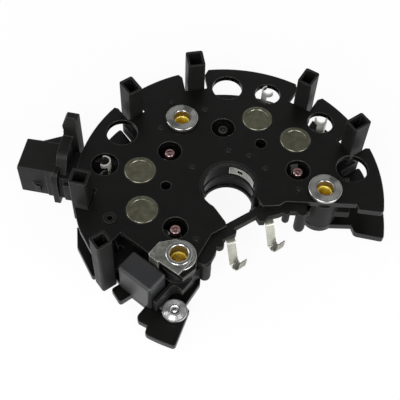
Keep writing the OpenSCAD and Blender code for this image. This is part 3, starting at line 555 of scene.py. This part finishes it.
# The upper heat sink is stamped and coated like the lower one, and carries the positive diodes.
# It is held by the stake pins of the carrier and by the bushings.
# The front of its right arm is trimmed back close to the bushing, which leaves a step at the arm's end.
UPPER_EDGE = 0.2 * MM
ARM_TRIM = (
    ((19.5, -9.0), (0.5, 0.8)),
    ((22.5, -7.2), (0.2, 1.0)),
    ((50.5, -7.2), (0.1, 1.25)),
    ((50.5, -7.7), (0.7, -0.7)),
)
POST_TRIM = (
    ((-35.39, 36.55), (-0.63, -0.49)),
    ((-40.07, 42.54), (-0.63, -0.49)),
)
ARM_END = (61.11, -9.19)
ARM_END_RADIUS = 1.3 * MM
ARM_STEP = (51.2, -8.4)
ARM_STEP_RADIUS = 0.6 * MM
upper_plate = welded_copy("positive_heat_sink", "upper_heat_sink")
trim_corners(upper_plate, ARM_TRIM + POST_TRIM)
round_corners(upper_plate, (ARM_END,), ARM_END_RADIUS)
round_corners(upper_plate, (ARM_STEP,), ARM_STEP_RADIUS)
break_edges(upper_plate, UPPER_EDGE, PLATE_EDGE_STEPS)
hand_over(upper_plate, "positive_heat_sink", black_coat)

# The positive diodes are pressed into the upper heat sink base up, so their plated discs show.
# Each disc has a raised rim round a shallow coined dish.
# Their copper leads point down through black resin to the phase conductors.
polished_rim = finish_of(
    "polished_rim", dark=(0.12, 0.12, 0.095), pale=(0.24, 0.24, 0.2), wear_and_highlight=(0.45, 0.45, 0.4),
    roughness=(0.2, 0.3), bump=0.1, grain_scale=1200.0, metallic=1.0, wear_and_highlight_gain=1.0, mottle_scale=300.0)
SHORT_LEAD_EDGE = 0.12 * MM
CUP_STEPS = 72
# dish, rim, outer wall and open underside
UPPER_CUP = (
    (0, 21.05), (4.4, 21.05), (4.55, 21.08), (4.7, 21.28), (4.8, 21.3), (5.9, 21.3), (6.15, 21.24),
    (6.3, 21.1), (6.375, 20.9), (6.375, 13.6), (6.1, 13.3), (5.08, 13.3), (5.08, 15.9), (0, 15.9),
)
POLISHED_BANDS = ((4.56, 4.72), (6.12, 6.36))
for i in DIODES:
    turned(f"positive_diode_{i}", f"upper_diode_{i}", UPPER_CUP, olive_plate, CUP_STEPS,
           POLISHED_BANDS, polished_rim)
    rounded_copy(f"positive_lead_{i}", f"short_lead_{i}", SHORT_LEAD_EDGE, copper_end)
    rounded_copy(f"positive_fill_{i}", f"upper_resin_{i}", RESIN_EDGE, cast_resin)

# The bushings are turned aluminium tubular rivets that clamp the stack, each round a chromated steel liner.
# Fine grooves from the lathe run round their heads, and the bore above the liner is left rough and is
# painted dark brown as painted shade.
# Dark fibre washers keep bushings A and B off the upper heat sink.
turned_aluminium = finish_of(
    "turned_aluminium", dark=(0.34, 0.34, 0.33), pale=(0.52, 0.52, 0.51), wear_and_highlight=(0.7, 0.7, 0.69),
    roughness=(0.16, 0.26), bump=0.12, metallic=1.0, wear_and_highlight_gain=1.0, mottle_scale=300.0)
# painted shade in the bore above the liner, on a rough finish
rough_bore_painted_shade = finish_of(
    "rough_bore_painted_shade", dark=(0.11, 0.066, 0.012), pale=(0.22, 0.14, 0.03), wear_and_highlight=(0.5, 0.42, 0.22),
    roughness=(0.45, 0.6), bump=0.2, metallic=0.4)
yellow_chromate = finish_of(
    "yellow_chromate", dark=(0.92, 0.64, 0.03), pale=(1.0, 0.8, 0.07), wear_and_highlight=(1.0, 0.93, 0.55),
    roughness=(0.24, 0.38), bump=0.1, metallic=0.2, mottle_scale=250.0)
dark_fibre = finish_of(
    "dark_fibre", dark=(0.02, 0.016, 0.012), pale=(0.035, 0.028, 0.022), wear_and_highlight=(0.06, 0.05, 0.04),
    roughness=(0.6, 0.75), bump=0.3, grain_scale=1500.0)
# radii and heights in mm
HEAD_TOPS = {"a": 22.6, "b": 22.6, "c": 22.0}
HEAD_THICKNESS = 1.2
HEAD_R = 6.8
SHANK_R = 4.6
FOOT_R = 5.3
FOOT_TOP = 0.8
BORE_R = 3.4
# the faces of the bore, which take the painted shade
BORE_BAND = (0, BORE_R + 0.02)
BUSHING_STEPS = 96
GROOVES = 5
FIRST_GROOVE_R = 6.3
GROOVE_PITCH = 0.5
GROOVE_DEPTH = 0.09
# the mouth of the bore, as (radius, height over the head): that of C is rolled over the output strap
PLAIN_MOUTH = ((3.72, 0), (3.52, -0.05), (BORE_R, -0.2))
ROLLED_MOUTH = (
    (3.85, 0), (3.85, 0.92), (4.9, 0.92), (5.05, 1.02), (4.95, 1.18), (4.65, 1.32), (4.2, 1.36), (3.8, 1.24),
    (3.54, 1.0), (BORE_R, 0.7),
)
LINER_DEPTH = 3.2
LINER_R = 3.37
LINER_BORE_R = 2.7
LINER_STEPS = 64
WASHER_EDGE = 0.08 * MM
for key, top in HEAD_TOPS.items():
    seat = top - HEAD_THICKNESS
    bushing = [(BORE_R, 0), (5.1, 0), (FOOT_R, 0.2), (FOOT_R, FOOT_TOP), (SHANK_R, FOOT_TOP),
               (SHANK_R, seat), (6.6, seat), (HEAD_R, seat + 0.2), (HEAD_R, top - 0.4),
               (6.7, top - 0.16), (6.45, top)]
    for groove in range(GROOVES):
        outer = FIRST_GROOVE_R - groove * GROOVE_PITCH
        bushing += [(outer, top), (outer - GROOVE_PITCH / 2, top - GROOVE_DEPTH)]
    mouth = ROLLED_MOUTH if key == "c" else PLAIN_MOUTH
    bushing += [(radius, top + height) for radius, height in mouth]
    bushing.append(bushing[0])
    turned(f"bushing_{key}", f"turned_bushing_{key}", bushing, turned_aluminium,
           BUSHING_STEPS, (BORE_BAND,), rough_bore_painted_shade)
    rim = top - LINER_DEPTH
    liner = ((LINER_BORE_R, 0.3), (3.1, 0), (LINER_R, 0.2), (LINER_R, rim - 0.15), (3.22, rim), (2.95, rim),
             (LINER_BORE_R, rim - 0.25), (LINER_BORE_R, 0.3))
    turned(f"sleeve_{key}", f"steel_liner_{key}", liner, yellow_chromate, LINER_STEPS)
for key in "ab":
    rounded_copy(f"washer_{key}", f"fibre_washer_{key}", WASHER_EDGE, dark_fibre)

# The capacitor is a moulded block beside bushing C, with an output strap over that bushing's head.
# Its earth tab is riveted to the lower heat sink by a bright turned aluminium rivet.
capacitor_case = finish_of(
    "capacitor_case", dark=(0.013, 0.0133, 0.0145), pale=(0.019, 0.0195, 0.021), wear_and_highlight=(0.05, 0.05, 0.052),
    roughness=(0.36, 0.48), bump=0.2, grain_scale=1500.0, specular=0.6, wear_and_highlight_gain=2.0)
strap_tin = finish_of(
    "strap_tin", dark=(0.1, 0.1, 0.088), pale=(0.46, 0.46, 0.42), wear_and_highlight=(0.95, 0.95, 0.92),
    roughness=(0.22, 0.48), bump=0.5, grain_scale=1100.0, metallic=0.85, wear_and_highlight_gain=7.0, mottle_scale=520.0)
rivet_aluminium = finish_of(
    "rivet_aluminium", dark=(0.54, 0.54, 0.54), pale=(0.76, 0.76, 0.76), wear_and_highlight=(0.9, 0.9, 0.9),
    roughness=(0.3, 0.42), bump=0.12, metallic=1.0, wear_and_highlight_gain=1.0)
CASE_EDGE = 0.4 * MM
CASE_EDGE_STEPS = 3
STRAP_EDGE = 0.14 * MM
TAB_EDGE = 0.1 * MM
RIVET_STEPS = 72
# tail, shank and head of the rivet, then its rings from the lathe, then its middle
RIVET_BODY = [
    (0, 0.3), (3.6, 0.3), (3.8, 0.55), (3.8, 0.8), (2.4, 0.8), (2.4, 4.7), (4.7, 4.7), (4.9, 4.9),
    (4.9, 5.75), (4.82, 5.95), (4.6, 6.05),
]
RINGS = 5
FIRST_RING_R = 4.5
RING_PITCH = 0.46
RING_RISE = 0.05
RING_CREST = 6.07
RING_TROUGH = 5.98
RIVET_MIDDLE = [
    (2.1, 6.34), (1.85, 6.36), (1.65, 6.22), (1.3, 5.98), (0.95, 5.98), (0.7, 6.2), (0.4, 6.36), (0, 6.4),
]
rivet_rings = []
for ring in range(RINGS):
    outer = FIRST_RING_R - ring * RING_PITCH
    rivet_rings += [(outer, RING_CREST + RING_RISE * ring),
                    (outer - RING_PITCH / 2, RING_TROUGH + RING_RISE * ring)]
rounded_copy("capacitor_body", "capacitor_block", CASE_EDGE, capacitor_case,
             CASE_EDGE_STEPS)
rounded_copy("output_strap", "bent_strap", STRAP_EDGE, strap_tin)
rounded_copy("ground_tab", "earth_tab", TAB_EDGE, strap_tin)
turned("ground_rivet", "earth_rivet", RIVET_BODY + rivet_rings + RIVET_MIDDLE,
       rivet_aluminium, RIVET_STEPS)

# The regulator contacts are tinned spring strips with slit feet, held in the carrier on its open side.
# A further contact strip lies in the shaft collar, and two blades stand in the plug housing.
spring_tin = finish_of(
    "spring_tin", dark=(0.27, 0.27, 0.23), pale=(0.4, 0.4, 0.35), wear_and_highlight=(0.7, 0.7, 0.65),
    roughness=(0.26, 0.4), bump=0.2, metallic=0.85, wear_and_highlight_gain=3.0, mottle_scale=300.0)
contact_tin = finish_of(
    "contact_tin", dark=(0.03, 0.03, 0.027), pale=(0.42, 0.42, 0.39), wear_and_highlight=(0.95, 0.95, 0.92),
    roughness=(0.1, 0.2), bump=0.1, metallic=1.0, wear_and_highlight_gain=7.0, mottle_scale=420.0)
SPRING_EDGE = 0.06 * MM
BLADE_EDGE = 0.12 * MM
for i in (1, 2):
    rounded_copy(f"regulator_hook_{i}", f"spring_hook_{i}", SPRING_EDGE, spring_tin)
    rounded_copy(f"plug_pin_{i}", f"plug_blade_{i}", BLADE_EDGE, dipped_tin)
rounded_copy("collar_contact", "collar_strip", SPRING_EDGE, contact_tin)
